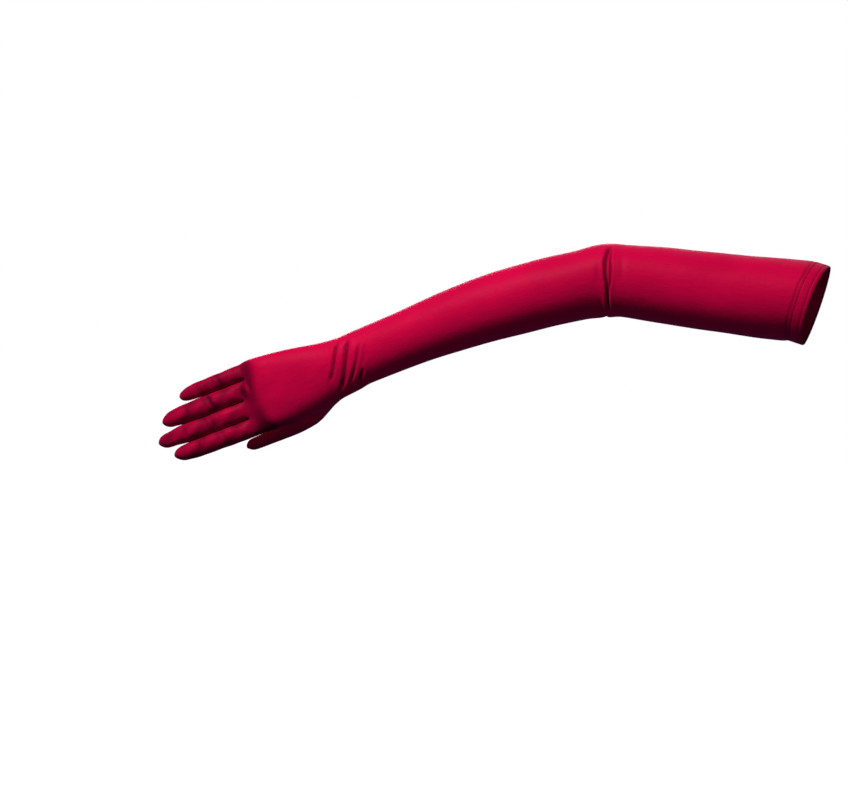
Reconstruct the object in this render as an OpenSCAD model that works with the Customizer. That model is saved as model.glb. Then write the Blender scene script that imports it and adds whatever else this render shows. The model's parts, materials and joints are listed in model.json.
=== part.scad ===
// Right-hand opera glove in stretch satin, holding the slightly bent shape that it has on an arm.
// Origin: centre of the sleeve opening. +X runs out of the opening along the upper sleeve.
// The back of the hand faces -Y and the palm +Y. The outside of the elbow is up, +Z.
// Each stretch of the glove is built in its own frame: x towards the fingertips,
// y towards the little-finger side and z towards the palm side.

/* [Lengths] */
// Sleeve opening to elbow
upper_length = 178; // [150:1:200]
// Elbow to wrist
forearm_length = 223; // [205:1:250]
// Width of the doubled hem
hem_width = 13; // [8:0.5:16]

/* [Girths] */
// Radius of the sleeve opening, inside
opening_radius = 33.5; // [31:0.5:35]
// Half width of the arm at the elbow
elbow_half_width = 29.3; // [27.5:0.1:30.5]
// Half width at the wrist
wrist_half_width = 23; // [22:0.1:24.5]
// Half width across the palm
palm_half_width = 32.6; // [31.5:0.1:33]

/* [Pose] */
// Bend of the elbow in the worn pose
elbow_angle = 24.2; // [15:0.1:35]
// Sideways bend of the wrist towards the thumb
wrist_angle = 4.5; // [0:0.5:8]
// Slant of the sleeve opening, shorter on the underside
hem_tilt = 12; // [6:0.5:14]

/* [Cloth] */
// Thickness of the satin as modelled
cloth = 0.8; // [0.6:0.1:1]
// Thickness of the sewing thread where it stands on the surface
thread = 0.6; // [0.4:0.1:0.8]

/* [Hidden] */
FINGERS = ["index", "middle", "ring", "little"];
$fn = 96;

satin = [0.72, 0.02, 0.2];
satin_dark = [0.5, 0.01, 0.14];
gap = 0.25;              // between neighbouring pieces of cloth
hem_outer = opening_radius + 2 * cloth;
slant = tan(hem_tilt);
palm_end = 91;           // where the hand panels stop and the knuckles begin

// Stations along each stretch: [x, half width y, half depth z, centre y, centre z].
UPPER = [
    [hem_width, hem_outer, hem_outer, hem_width * sin(hem_tilt), 0],
    [57, hem_outer - 1.6, hem_outer - 2.6, 1.4, 0],
    [95, 32.3, 30.7, 1.6, 0],
    [139, 31.6, 29.4, 1.9, 0],
    [upper_length + 30, elbow_half_width - 0.2, 27.3, 0.8, 0]
];
FOREARM = [
    [-30, elbow_half_width + 0.2, 27.6, 0.1, 0],
    [0, elbow_half_width, 27.4, 1.1, 0],
    [50, 29.2, 27, 5.9, 0],
    [110, 27.8, 24.8, 8.4, 0],
    [165, 24.6, 21, 6.2, 0],
    [forearm_length + 20, wrist_half_width, 17.2, 0, 0]
];
HAND = [
    [-20, wrist_half_width, 17.6, 0.2, 0],
    [0, wrist_half_width + 0.5, 17.4, 0.7, 0],
    [26, 25.8, 16, 1.3, 0],
    [47, 29.3, 15, 2.2, 0],
    [69, palm_half_width - 0.8, 14, 3.7, 0],
    [palm_end, palm_half_width, 12.4, 5.4, 0]
];

// Digits: [base joint in the hand's frame, splay, lengths from the base joint to the
// middle joint, the tip joint and the end, half widths at the base, the two joints and the tip].
// The thumb has no middle joint, so its first length is its only joint.
DIGITS = [
    [[101, -17.9, 0], 2, [33, 55, 80], [7.6, 7.4, 7.2, 6.5]],
    [[103, -2.2, 0], 1.4, [36, 60, 87.5], [7.5, 7.3, 7.2, 6.6]],
    [[101, 13.8, 0], 1, [33, 54, 79.5], [7.8, 7.8, 7.6, 6.9]],
    [[95, 28.8, 0], 1.1, [26, 43.5, 63], [6.6, 6.2, 6, 5.4]]
];
THUMB = [[50, -29.1, 15], -1.8, [37, 72.5], [8, 6.4, 5.4]];
THUMB_PITCH = 1.2;

// How far the rigid stretches are cut back beside each joint, per millimetre of depth
// on the inside of the bend, so that they clear each other at the full bend.
elbow_cut = 1.72;
wrist_cut = 0.66;
knuckle_cut = 0.8;
middle_cut = 1.2;
tip_cut = 0.75;
elbow_margin = 10;
wrist_margin = 4;
digit_margin = 2;

// ---------- interpolation along a list of stations ----------
function span(st, x, i = 0) = (i >= len(st) - 2 || x < st[i + 1][0]) ? i : span(st, x, i + 1);
function slope(st, i) =
    let (a = max(0, i - 1), b = min(len(st) - 1, i + 1))
    (st[b] - st[a]) / (st[b][0] - st[a][0]);
function at(st, x) =
    let (
        i = span(st, x),
        h = st[i + 1][0] - st[i][0],
        u = (x - st[i][0]) / h
    )
    (2 * u * u * u - 3 * u * u + 1) * st[i] + (u * u * u - 2 * u * u + u) * h * slope(st, i)
    + (3 * u * u - 2 * u * u * u) * st[i + 1] + (u * u * u - u * u) * h * slope(st, i + 1);

// ---------- edges ----------
// An edge is [x, slant, cut on the -y side, cut on the +z side, cut on the -z side].
function edge_x(st, e, a) =
    let (s = at(st, e[0]), y = s[3] + s[1] * cos(a), z = s[4] + s[2] * sin(a))
    e[0] - e[1] * y + e[2] * max(0, -y) + e[3] * max(0, z) + e[4] * max(0, -z);
function moved(e, dx) = [e[0] + dx, e[1], e[2], e[3], e[4]];
function surface_point(st, e0, e1, a, u, inset) =
    let (x = edge_x(st, e0, a) * (1 - u) + edge_x(st, e1, a) * u, s = at(st, x))
    [x, s[3] + max(0.3, s[1] - inset) * cos(a), s[4] + max(0.3, s[2] - inset) * sin(a)];
// Rings of points from one edge to the other.
function rings(st, e0, e1, steps, sides, from, to, inset) = [
    for (i = [0 : steps]) [
        for (j = [0 : sides - (to - from == 360 ? 1 : 0)])
        surface_point(st, e0, e1, from + (to - from) * j / sides, i / steps, inset)
    ]
];

// ---------- solids from rings ----------
// Cloth between two matching sets of rings, open at both ends or closed at the far end.
module cloth_between(outer, inner, around = true, closed_end = false) {
    m = len(outer);
    n = len(outer[0]);
    w = around ? n : n - 1;
    skin_a = [for (r = outer) for (p = r) p];
    skin_b = [for (r = inner) for (p = r) p];
    k = m * n;
    polyhedron(
        points = concat(skin_a, skin_b),
        faces = concat(
            [for (i = [0 : m - 2]) for (j = [0 : w - 1]) for (f = quad(
                i * n + j, i * n + (j + 1) % n, (i + 1) * n + (j + 1) % n, (i + 1) * n + j)) f],
            [for (i = [0 : m - 2]) for (j = [0 : w - 1]) for (f = quad(
                k + i * n + j, k + (i + 1) * n + j, k + (i + 1) * n + (j + 1) % n, k + i * n + (j + 1) % n)) f],
            [for (j = [0 : w - 1]) for (f = quad(j, k + j, k + (j + 1) % n, (j + 1) % n)) f],
            closed_end
                ? [[for (j = [0 : n - 1]) (m - 1) * n + j], [for (j = [n - 1 : -1 : 0]) k + (m - 1) * n + j]]
                : [for (j = [0 : w - 1]) for (f = quad(
                    (m - 1) * n + j, (m - 1) * n + (j + 1) % n,
                    k + (m - 1) * n + (j + 1) % n, k + (m - 1) * n + j)) f],
            around ? [] : [for (i = [0 : m - 2]) for (f = quad(
                i * n, (i + 1) * n, k + (i + 1) * n, k + i * n)) f],
            around ? [] : [for (i = [0 : m - 2]) for (f = quad(
                i * n + n - 1, k + i * n + n - 1, k + (i + 1) * n + n - 1, (i + 1) * n + n - 1)) f]
        )
    );
}
function quad(a, b, c, d) = [[a, b, c], [a, c, d]];

// A panel covers part of the way round, from one angle to another.
module panel(st, e0, e1, steps, from, to) {
    sides = 12;
    cloth_between(
        rings(st, e0, e1, steps, sides, from, to, 0),
        rings(st, e0, e1, steps, sides, from, to, cloth),
        around = false
    );
}
// A tube goes all the way round.
module tube(st, e0, e1, steps, sides = 16) {
    cloth_between(
        rings(st, e0, e1, steps, sides, 0, 360, 0),
        rings(st, e0, e1, steps, sides, 0, 360, cloth)
    );
}
// A cap is a tube whose far end is closed by its shrinking stations.
module cap(st, e0, x_end, steps, sides = 16) {
    cloth_between(
        rings(st, e0, [x_end, 0, 0, 0, 0], steps, sides, 0, 360, 0),
        rings(st, e0, [x_end - cloth, 0, 0, 0, 0], steps, sides, 0, 360, cloth),
        closed_end = true
    );
}
// A sewn seam standing a little proud of the cloth along one angle.
module seam(st, x0, x1, steps, a) {
    r = thread;
    line = [for (i = [0 : steps]) let (x = x0 + (x1 - x0) * i / steps, s = at(st, x))
        [x, s[3] + (s[1] + r + 0.05) * cos(a), s[4] + (s[2] + r + 0.05) * sin(a)]];
    n = 6;
    ring = [for (p = line) for (j = [0 : n - 1]) p + r * [0, cos(60 * j), sin(60 * j)]];
    polyhedron(
        points = ring,
        faces = concat(
            [[for (j = [0 : n - 1]) j]],
            [for (i = [0 : steps - 1]) for (j = [0 : n - 1]) for (f = quad(
                i * n + j, (i + 1) * n + j, (i + 1) * n + (j + 1) % n, i * n + (j + 1) % n)) f],
            [[for (j = [n - 1 : -1 : 0]) steps * n + j]]
        )
    );
}

// ---------- places ----------
module at_upper() { rotate([90, 0, 180]) children(); }
module at_forearm() { at_upper() translate([upper_length, 0, 0]) rotate([0, 0, -elbow_angle]) children(); }
module at_hand() { at_forearm() translate([forearm_length, 0, 0]) rotate([0, 0, -wrist_angle]) children(); }
module at_digit(d) { at_hand() translate(DIGITS[d][0]) rotate([0, 0, DIGITS[d][1]]) children(); }
module at_thumb() { at_hand() translate(THUMB[0]) rotate([0, -THUMB_PITCH, THUMB[1]]) children(); }
// A point in the next stretch's frame, turned back by the bend between the two.
function carried(p, length, angle) = [
    length + p[0] * cos(angle) + p[1] * sin(angle), -p[0] * sin(angle) + p[1] * cos(angle), p[2]
];
function carried_ring(r, length, angle) = [for (p = r) carried(p, length, angle)];
function halfway(a, b) = [for (j = [0 : len(a) - 1]) (a[j] + b[j]) / 2];

// ---------- edges beside the joints ----------
hem_edge = [hem_width / cos(hem_tilt) + gap, slant, 0, 0, 0];
upper_end = [upper_length - elbow_margin, 0, -elbow_cut, 0, 0];
forearm_start = [elbow_margin, 0, elbow_cut, 0, 0];
forearm_end = [forearm_length - wrist_margin, 0, 0, -wrist_cut, -wrist_cut];
hand_start = [wrist_margin, 0, 0, wrist_cut, wrist_cut];
hand_end = [palm_end, 0, 0, -0.3, 0];

// A bend joins two stretches whose frames differ, through a ring at the hinge.
function bend_rings(st_a, end_a, st_b, start_b, length, angle, sides, inset) =
    let (
        a = rings(st_a, moved(end_a, gap), moved(end_a, gap), 1, sides, 0, 360, inset)[0],
        b = rings(st_b, moved(start_b, -gap), moved(start_b, -gap), 1, sides, 0, 360, inset)[0],
        hinge_a = rings(st_a, [length, 0, 0, 0, 0], [length, 0, 0, 0, 0], 1, sides, 0, 360, inset)[0],
        hinge_b = rings(st_b, [0, 0, 0, 0, 0], [0, 0, 0, 0, 0], 1, sides, 0, 360, inset)[0],
        carried_b = carried_ring(b, length, angle),
        mid = halfway(hinge_a, carried_ring(hinge_b, length, angle))
    )
    [a, halfway(a, mid), mid, halfway(mid, carried_b), carried_b];
module bend(st_a, end_a, st_b, start_b, length, angle) {
    sides = 24;
    cloth_between(
        bend_rings(st_a, end_a, st_b, start_b, length, angle, sides, 0),
        bend_rings(st_a, end_a, st_b, start_b, length, angle, sides, cloth)
    );
}

// ---------- sleeve ----------
module hem_place() { at_upper() rotate([0, 0, hem_tilt]) rotate([0, 90, 0]) children(); }
module hem_band() {
    color(satin) hem_place() difference() {
        cylinder(h = hem_width, r = hem_outer);
        translate([0, 0, -1]) cylinder(h = hem_width + 2, r = opening_radius);
    }
}
module stitch_ring(from_edge) {
    color(satin_dark) hem_place() translate([0, 0, from_edge])
        rotate_extrude() translate([hem_outer + thread / 2, 0]) circle(d = thread, $fn = 16);
}
module upper_sleeve_back() { color(satin) at_upper() panel(UPPER, hem_edge, upper_end, 10, 180.5, 359.5); }
module upper_sleeve_front() { color(satin) at_upper() panel(UPPER, hem_edge, upper_end, 10, 0.5, 179.5); }
module upper_side_seam() { color(satin_dark) at_upper() seam(UPPER, 14, upper_length - 12, 12, 14); }
module elbow_bend() {
    color(satin) at_upper() bend(UPPER, upper_end, FOREARM, forearm_start, upper_length, elbow_angle);
}
module forearm_sleeve_back() {
    color(satin) at_forearm() panel(FOREARM, forearm_start, forearm_end, 12, 180.5, 359.5);
}
module forearm_sleeve_front() {
    color(satin) at_forearm() panel(FOREARM, forearm_start, forearm_end, 12, 0.5, 179.5);
}
module forearm_side_seam() { color(satin_dark) at_forearm() seam(FOREARM, 12, forearm_length - 10, 14, 14); }
module wrist_bend() {
    color(satin) at_forearm() bend(FOREARM, forearm_end, HAND, hand_start, forearm_length, wrist_angle);
}

// ---------- hand ----------
module hand_back() { color(satin) at_hand() panel(HAND, hand_start, hand_end, 9, 180.5, 359.5); }
module hand_palm() { color(satin) at_hand() panel(HAND, hand_start, hand_end, 9, 0.5, 179.5); }
module hand_side_seam() { color(satin_dark) at_hand() seam(HAND, 12, palm_end - 3, 8, 14); }
// Where the side of a digit lies: sign 1 is its little-finger side and -1 its thumb side.
function side_y(d, x, sign) =
    let (g = DIGITS[d])
    g[0][1] + (x - g[0][0]) * sin(g[1]) + sign * g[3][0];
// The strip between two fingers, standing in the crotch.
module fourchette(d) {
    x0 = palm_end + 1.5;
    x1 = min(DIGITS[d][0][0], DIGITS[d + 1][0][0]) + 5;
    low = side_y(d, x0, 1);
    high = side_y(d + 1, x0, -1);
    color(satin_dark) at_hand() translate([x0, (low + high) / 2, 0])
        rotate([90, 0, (DIGITS[d][1] + DIGITS[d + 1][1]) / 2])
        linear_extrude(height = (high - low) / 2, center = true)
        polygon([[0, -9], [x1 - x0, -5], [x1 - x0, 4], [0, 7]]);
}

// ---------- digits ----------
// The finger's stations run from behind the knuckle to the rounded tip.
function tip_round(x_end, r, depth) = [
    for (t = [0, 25, 45, 62, 76, 88])
    [x_end - 2 * r + 2 * r * sin(t), r * cos(t), depth * r * cos(t), 0, 0]
];
function finger_stations(d) =
    let (g = DIGITS[d], l = g[2], w = g[3], back = palm_end - g[0][0])
    concat(
        [[back - 4, w[0], 11.6, 0, 0], [back, w[0], 11, 0, 0], [0, w[0], w[0] + 1, 0, 0],
         [l[0], w[1], w[1] + 0.1, 0, 0], [l[1], w[2], w[2], 0, 0]],
        tip_round(l[2], w[3], 0.95)
    );
thumb_stations = concat(
    [[0, THUMB[3][0], 8.4, 0, 0], [20, 7.2, 8, 0, 0], [THUMB[2][0], THUMB[3][1], 7.5, 0, 0]],
    tip_round(THUMB[2][1], THUMB[3][2], 1.2)
);
// The rigid stretch before a joint ends at its cut, and the next one starts at the same cut.
function before(x, cut) = [x - digit_margin, 0, 0, -cut, 0];
function after(x, cut) = [x + digit_margin, 0, 0, cut, 0];
module finger_knuckle_bend(d) {
    st = finger_stations(d);
    back = palm_end - DIGITS[d][0][0];
    color(satin) at_digit(d)
        tube(st, [back + 0.6, 0, 0, -0.2, 0], moved(after(0, knuckle_cut), -gap), 4);
}
module finger_base_segment(d) {
    color(satin) at_digit(d)
        tube(finger_stations(d), after(0, knuckle_cut), before(DIGITS[d][2][0], middle_cut), 3);
}
module finger_middle_bend(d) {
    x = DIGITS[d][2][0];
    color(satin) at_digit(d)
        tube(finger_stations(d), moved(before(x, middle_cut), gap), moved(after(x, middle_cut), -gap), 4);
}
module finger_middle_segment(d) {
    l = DIGITS[d][2];
    color(satin) at_digit(d) tube(finger_stations(d), after(l[0], middle_cut), before(l[1], tip_cut), 2);
}
module finger_tip_bend(d) {
    x = DIGITS[d][2][1];
    color(satin) at_digit(d)
        tube(finger_stations(d), moved(before(x, tip_cut), gap), moved(after(x, tip_cut), -gap), 3);
}
module finger_tip_segment(d) {
    l = DIGITS[d][2];
    color(satin) at_digit(d) cap(finger_stations(d), after(l[1], tip_cut), l[2] - 0.02, 8);
}

// ---------- thumb ----------
// The thumb piece swells out of the hand's edge towards the thumb's base.
gusset_stations = [
    [-24, 2.6, 3, 3.6, -2.6], [-16, 4.1, 4.6, 2.6, -1.6], [-8, 6, 6.7, 1.2, -0.6], [2, 7.95, 8.4, 0, 0]
];
module thumb_gusset() {
    color(satin) at_thumb() tube(gusset_stations, [-23, 0, 0, 0, 0], [2 - gap, 0, 0, 0, 0], 5);
}
module thumb_base_segment() {
    color(satin) at_thumb() tube(thumb_stations, [2, 0, 0, 0, 0], before(THUMB[2][0], tip_cut), 4);
}
module thumb_joint_bend() {
    x = THUMB[2][0];
    color(satin) at_thumb()
        tube(thumb_stations, moved(before(x, tip_cut), gap), moved(after(x, tip_cut), -gap), 3);
}
module thumb_tip_segment() {
    color(satin) at_thumb() cap(thumb_stations, after(THUMB[2][0], tip_cut), THUMB[2][1] - 0.02, 8);
}

// ---------- assembly ----------
hem_band();
stitch_ring(4);  // hem_stitching_outer
stitch_ring(hem_width - 2.2);  // hem_stitching_inner
upper_sleeve_back();
upper_sleeve_front();
upper_side_seam();
elbow_bend();
forearm_sleeve_back();
forearm_sleeve_front();
forearm_side_seam();
wrist_bend();
hand_back();
hand_palm();
hand_side_seam();
fourchette(0);  // fourchette_index_middle
fourchette(1);  // fourchette_middle_ring
fourchette(2);  // fourchette_ring_little
thumb_gusset();
thumb_base_segment();
thumb_joint_bend();
thumb_tip_segment();
for (d = [0 : 3]) {
    finger_knuckle_bend(d);
    finger_base_segment(d);
    finger_middle_bend(d);
    finger_middle_segment(d);
    finger_tip_bend(d);
    finger_tip_segment(d);
}
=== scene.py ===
"""The looks of a right-hand opera glove in crimson stretch satin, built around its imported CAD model."""
import json
import math

import bpy
import numpy as np
from mathutils import Matrix, Vector


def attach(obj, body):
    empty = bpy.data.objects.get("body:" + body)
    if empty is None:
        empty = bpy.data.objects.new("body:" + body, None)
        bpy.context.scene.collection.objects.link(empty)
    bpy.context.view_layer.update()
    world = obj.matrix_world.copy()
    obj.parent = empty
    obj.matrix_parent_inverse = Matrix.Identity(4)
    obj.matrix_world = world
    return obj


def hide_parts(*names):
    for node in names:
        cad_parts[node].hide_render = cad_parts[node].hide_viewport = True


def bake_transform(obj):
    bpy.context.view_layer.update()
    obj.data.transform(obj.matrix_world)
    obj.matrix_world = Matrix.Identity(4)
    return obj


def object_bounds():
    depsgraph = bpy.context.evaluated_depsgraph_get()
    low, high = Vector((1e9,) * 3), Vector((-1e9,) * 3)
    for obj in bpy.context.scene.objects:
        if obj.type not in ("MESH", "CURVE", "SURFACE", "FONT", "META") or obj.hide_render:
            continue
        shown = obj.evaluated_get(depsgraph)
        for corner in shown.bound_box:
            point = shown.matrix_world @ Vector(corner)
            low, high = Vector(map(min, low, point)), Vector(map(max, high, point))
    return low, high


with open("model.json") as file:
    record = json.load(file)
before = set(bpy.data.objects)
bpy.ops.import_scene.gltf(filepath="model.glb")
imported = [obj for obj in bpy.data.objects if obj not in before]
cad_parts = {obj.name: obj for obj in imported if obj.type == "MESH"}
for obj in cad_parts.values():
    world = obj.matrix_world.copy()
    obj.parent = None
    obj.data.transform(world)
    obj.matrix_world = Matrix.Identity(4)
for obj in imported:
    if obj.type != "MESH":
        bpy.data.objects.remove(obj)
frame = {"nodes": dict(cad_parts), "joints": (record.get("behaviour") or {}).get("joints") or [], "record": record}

cad_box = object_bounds()
MM = 0.001
RING = 20            # points round the arm and the palm in the control cage
LEVELS = 3           # subdivisions of the cage
CLOTH = 0.55         # thickness of the satin, mm
HEM_CLOTH = 1.3      # thickness where the hem is doubled, mm
SNUG = 0.2           # how much fatter the cloth is than the CAD fingers, mm
FINGER_GAP = 0.3     # what stays free between two neighbouring fingers, mm
WIDEST_SWELL = 1.1   # the most that a finger's side may swell to reach its neighbour, mm
FINGERS = ("index", "middle", "ring", "little")


# -------- places
def unit(v):
    v = np.array(v, float)
    return v / np.linalg.norm(v)


class Place:
    """A stretch's own frame in mm: x to the fingertips, y to the little-finger side, z to the palm."""

    def __init__(self, origin, x, y):
        self.origin = np.array(origin, float)
        self.x = unit(x)
        self.z = unit(np.cross(self.x, y))
        self.y = np.cross(self.z, self.x)
        self.axes = np.array((self.x, self.y, self.z))

    def out(self, points):
        return self.origin + MM * np.asarray(points, float) @ self.axes

    def back(self, points):
        return (np.asarray(points, float) - self.origin) @ self.axes.T / MM


joints = {j["name"]: j for j in frame["joints"]}
mount = frame["record"]["mounts"][0]


def joint_at(name):
    return np.array(joints[name]["pos_m"], float)


def across(name):
    """The way to the little-finger side at a joint that bends towards the palm."""
    return -np.array(joints[name]["axis"], float)


UP = np.array((0.0, 0.0, 1.0))
PALM = np.array((0.0, 1.0, 0.0))
hem = Place((0, 0, 0), -np.array(mount["axis"], float), UP)
upper = Place((0, 0, 0), (-1, 0, 0), UP)
forearm = Place(joint_at("elbow"), joint_at("wrist") - joint_at("elbow"), UP)
hand = Place(joint_at("wrist"), np.cross(across("wrist"), PALM), across("wrist"))


def from_joint(first, second, sideways):
    """The frame of the stretch between two joints, with the axis of the joint that bends it."""
    return Place(joint_at(first), joint_at(second) - joint_at(first), across(sideways))


digits = {f: from_joint(f + "_knuckle", f + "_middle_joint", f + "_knuckle") for f in FINGERS}
thumb = from_joint("thumb_base", "thumb_tip_joint", "thumb_tip_joint")
upper_length = np.linalg.norm(joint_at("elbow")) / MM
forearm_length = np.linalg.norm(joint_at("wrist") - joint_at("elbow")) / MM


# -------- sizes read from the CAD nodes
def node_edges(names):
    """The vertices of some CAD nodes, and the pairs of them that their edges join."""
    points, pairs, count = [], [], 0
    for n in names:
        mesh = frame["nodes"][n].data
        co = np.zeros(len(mesh.vertices) * 3)
        mesh.vertices.foreach_get("co", co)
        ends = np.zeros(len(mesh.edges) * 2, int)
        mesh.edges.foreach_get("vertices", ends)
        points.append(co.reshape(-1, 3))
        pairs.append(ends.reshape(-1, 2) + count)
        count += len(mesh.vertices)
    return np.concatenate(points), np.concatenate(pairs)


class Girth:
    """Half sizes and centre of a stretch where a plane across its frame cuts its CAD nodes."""

    def __init__(self, place, *names):
        points, self.pairs = node_edges(names)
        self.points = place.back(points)

    def at(self, x):
        a, b = self.points[self.pairs[:, 0]], self.points[self.pairs[:, 1]]
        cut = (a[:, 0] - x) * (b[:, 0] - x) < 0
        a, b = a[cut], b[cut]
        if not len(a):
            raise ValueError(f"nothing is cut at {x}")
        t = (x - a[:, :1]) / (b[:, :1] - a[:, :1])
        p = a + (b - a) * t
        low, high = p.min(0), p.max(0)
        return (high[1] - low[1]) / 2, (high[2] - low[2]) / 2, (high[1] + low[1]) / 2, (high[2] + low[2]) / 2

    def end(self):
        return self.points[:, 0].max()


hem_girth = Girth(hem, "hem_band")
upper_girth = Girth(upper, "upper_sleeve_back", "upper_sleeve_front", "elbow_bend")
forearm_girth = Girth(forearm, "forearm_sleeve_back", "forearm_sleeve_front", "elbow_bend", "wrist_bend")
hand_girth = Girth(hand, "hand_back", "hand_palm", "wrist_bend")
DIGIT_NODES = (
    "_knuckle_bend", "_base_segment", "_middle_bend", "_middle_segment", "_tip_bend", "_tip_segment",
)
digit_girth = {f: Girth(digits[f], *(f + part for part in DIGIT_NODES)) for f in FINGERS}
thumb_girth = Girth(thumb, "thumb_gusset", "thumb_base_segment", "thumb_joint_bend", "thumb_tip_segment")


def ease(a, b, x):
    """0 before a, 1 after b, smooth between."""
    t = np.clip((np.asarray(x, float) - a) / (b - a), 0, 1)
    return t * t * (3 - 2 * t)


def bump(x, middle, width):
    """1 in the middle, fading to 0 over about twice the width."""
    return np.exp(-(((np.asarray(x, float) - middle) / width) ** 2))


def in_scene(name, data):
    """A new object in the scene."""
    ob = bpy.data.objects.new(name, data)
    bpy.context.scene.collection.objects.link(ob)
    return ob


# -------- the control cage
class Cage:
    """The coarse net of four-sided faces that the smooth surface is subdivided from."""

    def __init__(self):
        self.points, self.faces, self.pieces, self.names, self.weave = [], [], [], [], []

    def point(self, p):
        self.points.append(np.array(p, float))
        return len(self.points) - 1

    def ring(self, points):
        return [self.point(p) for p in points]

    def face(self, ids, piece, weave):
        """weave is each corner's place on the cloth, across and along it, in mm."""
        if piece not in self.names:
            self.names.append(piece)
        self.faces.append(tuple(ids))
        self.pieces.append(self.names.index(piece))
        self.weave.append(weave)

    def join(self, a, b, piece, along, girth, skip=()):
        """Faces from ring a to ring b. piece is a name, or a function of the place round the ring."""
        n = len(a)
        for j in range(n):
            if j not in skip:
                k = (j + 1) % n
                u0, u1 = girth * j / n, girth * (j + 1) / n
                weave = ((u0, along[0]), (u1, along[0]), (u1, along[1]), (u0, along[1]))
                self.face((a[j], a[k], b[k], b[j]), piece(j) if callable(piece) else piece, weave)

    def close(self, ring, middle, piece, along, girth):
        """Four faces that close a ring of eight points at a fingertip."""
        for j in range(0, 8, 2):
            u0, u1, u2 = (girth * (j + i) / 8 for i in range(3))
            weave = ((u0, along), (u1, along), (u2, along), (u1, along + 1.5))
            self.face((ring[j], ring[j + 1], ring[(j + 2) % 8], middle), piece, weave)


cage = Cage()
ANGLES = np.radians(np.arange(RING) * 360 / RING)
# A cubic surface lies inside its cage, by these shares of the radius for 20 and for 8 points.
WIDE = 3 / (2 + math.cos(math.tau / RING))
NARROW = 3 / (2 + math.cos(math.tau / 8))


def oval(place, x, size, tilt=0.0):
    """An oval ring across a stretch; tilt leans it along the stretch."""
    a, b, cy, cz = size
    y, z = WIDE * a * np.cos(ANGLES), WIDE * b * np.sin(ANGLES)
    return place.out(np.stack((x - tilt * y, cy + y, cz + z), 1))


def between(a, b):
    return (np.asarray(a) + np.asarray(b)) / 2


HEM_SWAY = 3.2       # how much further down the arm the hem's outer side sits, mm
HEM_RADIUS = 33      # about the hem's outer radius, mm
HEM_LOW = 0.7        # how much the hem's top is lower than a full circle, mm


def hem_pull(q):
    """How far the worn hem is pulled towards the hand at places in its own frame, in mm."""
    return HEM_SWAY * np.clip(-q[:, 2] / HEM_RADIUS, 0, 1) ** 1.5


def hem_sway(place, points):
    """Points moved as the worn hem lies. The pull fades out along the upper arm."""
    q = place.back(points)
    q[:, 0] += hem_pull(q) * (1 - ease(12, 75, q[:, 0]))
    return place.out(q)


ARM_GIRTH, FINGER_GIRTH = 180.0, 46.0      # mean girths, for the cloth's own coordinates, mm
# The rings of the cage: mm along the hem with how much it grows there, then mm along the stretches.
HEM_LIP = ((0, -0.6), (0.6, -0.15), (2.2, 0), (6.5, 0), (9.5, 0))
UPPER_STEPS = (17, 25, 37, 51, 66, 82, 98, 114, 128, 140, 150, 158, 165)
FOREARM_STEPS = (13, 21, 31, 43, 57, 72, 88, 104, 120, 136, 151, 165, 177, 188, 198, 206, 212)
PANELS_END = 104     # where the sleeve's panels meet the wrist's, mm from the elbow
ELBOW_STEP = 6       # from the elbow to the rings beside it, mm
ELBOW_CUT = 14       # how far from the elbow the girths there are read, mm
WRIST_CUT = 6        # the same at the wrist, mm
hem_width = mount["dims"]["length_mm"]
slant = math.tan(math.acos(abs(float(mount["axis"][0]))))
hem_size = hem_girth.at(hem_width / 2)
arm_length = upper_length + forearm_length
rows = []            # (ring of point numbers, piece of the band that starts here, mm along the glove)


def add_row(ring, name, along):
    """Adds a ring of places to the cage, as the start of the next band of faces."""
    rows.append((cage.ring(ring), name, along))


for x, lip in (*HEM_LIP, (hem_width, 0)):
    grown = (hem_size[0] - HEM_LOW + lip, hem_size[1] + lip, -HEM_LOW, 0)
    add_row(hem_sway(hem, oval(hem, x, grown)), "hem", x)
for x in UPPER_STEPS:
    a, b, cy, cz = upper_girth.at(max(x, 22))
    low = HEM_LOW * (1 - ease(20, 90, x))
    ring = oval(upper, x, (a - low, b, cy - low, cz), slant * (1 - ease(14, 60, x)))
    add_row(hem_sway(hem, ring), "sleeve", x)
above_elbow, below_elbow = upper_girth.at(upper_length - ELBOW_CUT), forearm_girth.at(ELBOW_CUT)
add_row(oval(upper, upper_length - ELBOW_STEP, above_elbow), "sleeve", upper_length - ELBOW_STEP)
at_elbow = between(oval(upper, upper_length, above_elbow), oval(forearm, 0, below_elbow))
add_row(at_elbow, "sleeve", upper_length)
add_row(oval(forearm, ELBOW_STEP, below_elbow), "sleeve", upper_length + ELBOW_STEP)
for x in FOREARM_STEPS:
    ring = oval(forearm, x, forearm_girth.at(max(x, ELBOW_CUT)))
    add_row(ring, "sleeve" if x < PANELS_END else "wrist", upper_length + x)
above_wrist = forearm_girth.at(forearm_length - WRIST_CUT)
add_row(oval(forearm, forearm_length - 5, above_wrist), "wrist", arm_length - 5)
at_wrist = between(oval(forearm, forearm_length, above_wrist), oval(hand, 0, hand_girth.at(WRIST_CUT)))
add_row(at_wrist, "wrist", arm_length)

# The palm: its points slide from even spacing at the wrist to the finger columns at the webs.
WEBS = {2: 94.0, 4: 102.0, 6: 104.0}          # where each crotch lies, by its column, mm from the wrist
WEB_RING = {0: 97.5, 1: 97.5, 3: 99.5, 5: 103, 7: 103, 8: 101.5, **WEBS}     # the hand's last ring, by column
WEB_SIDES = {0: 97.5, 10: 101}                # the same at the hand's two edges, by point
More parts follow.
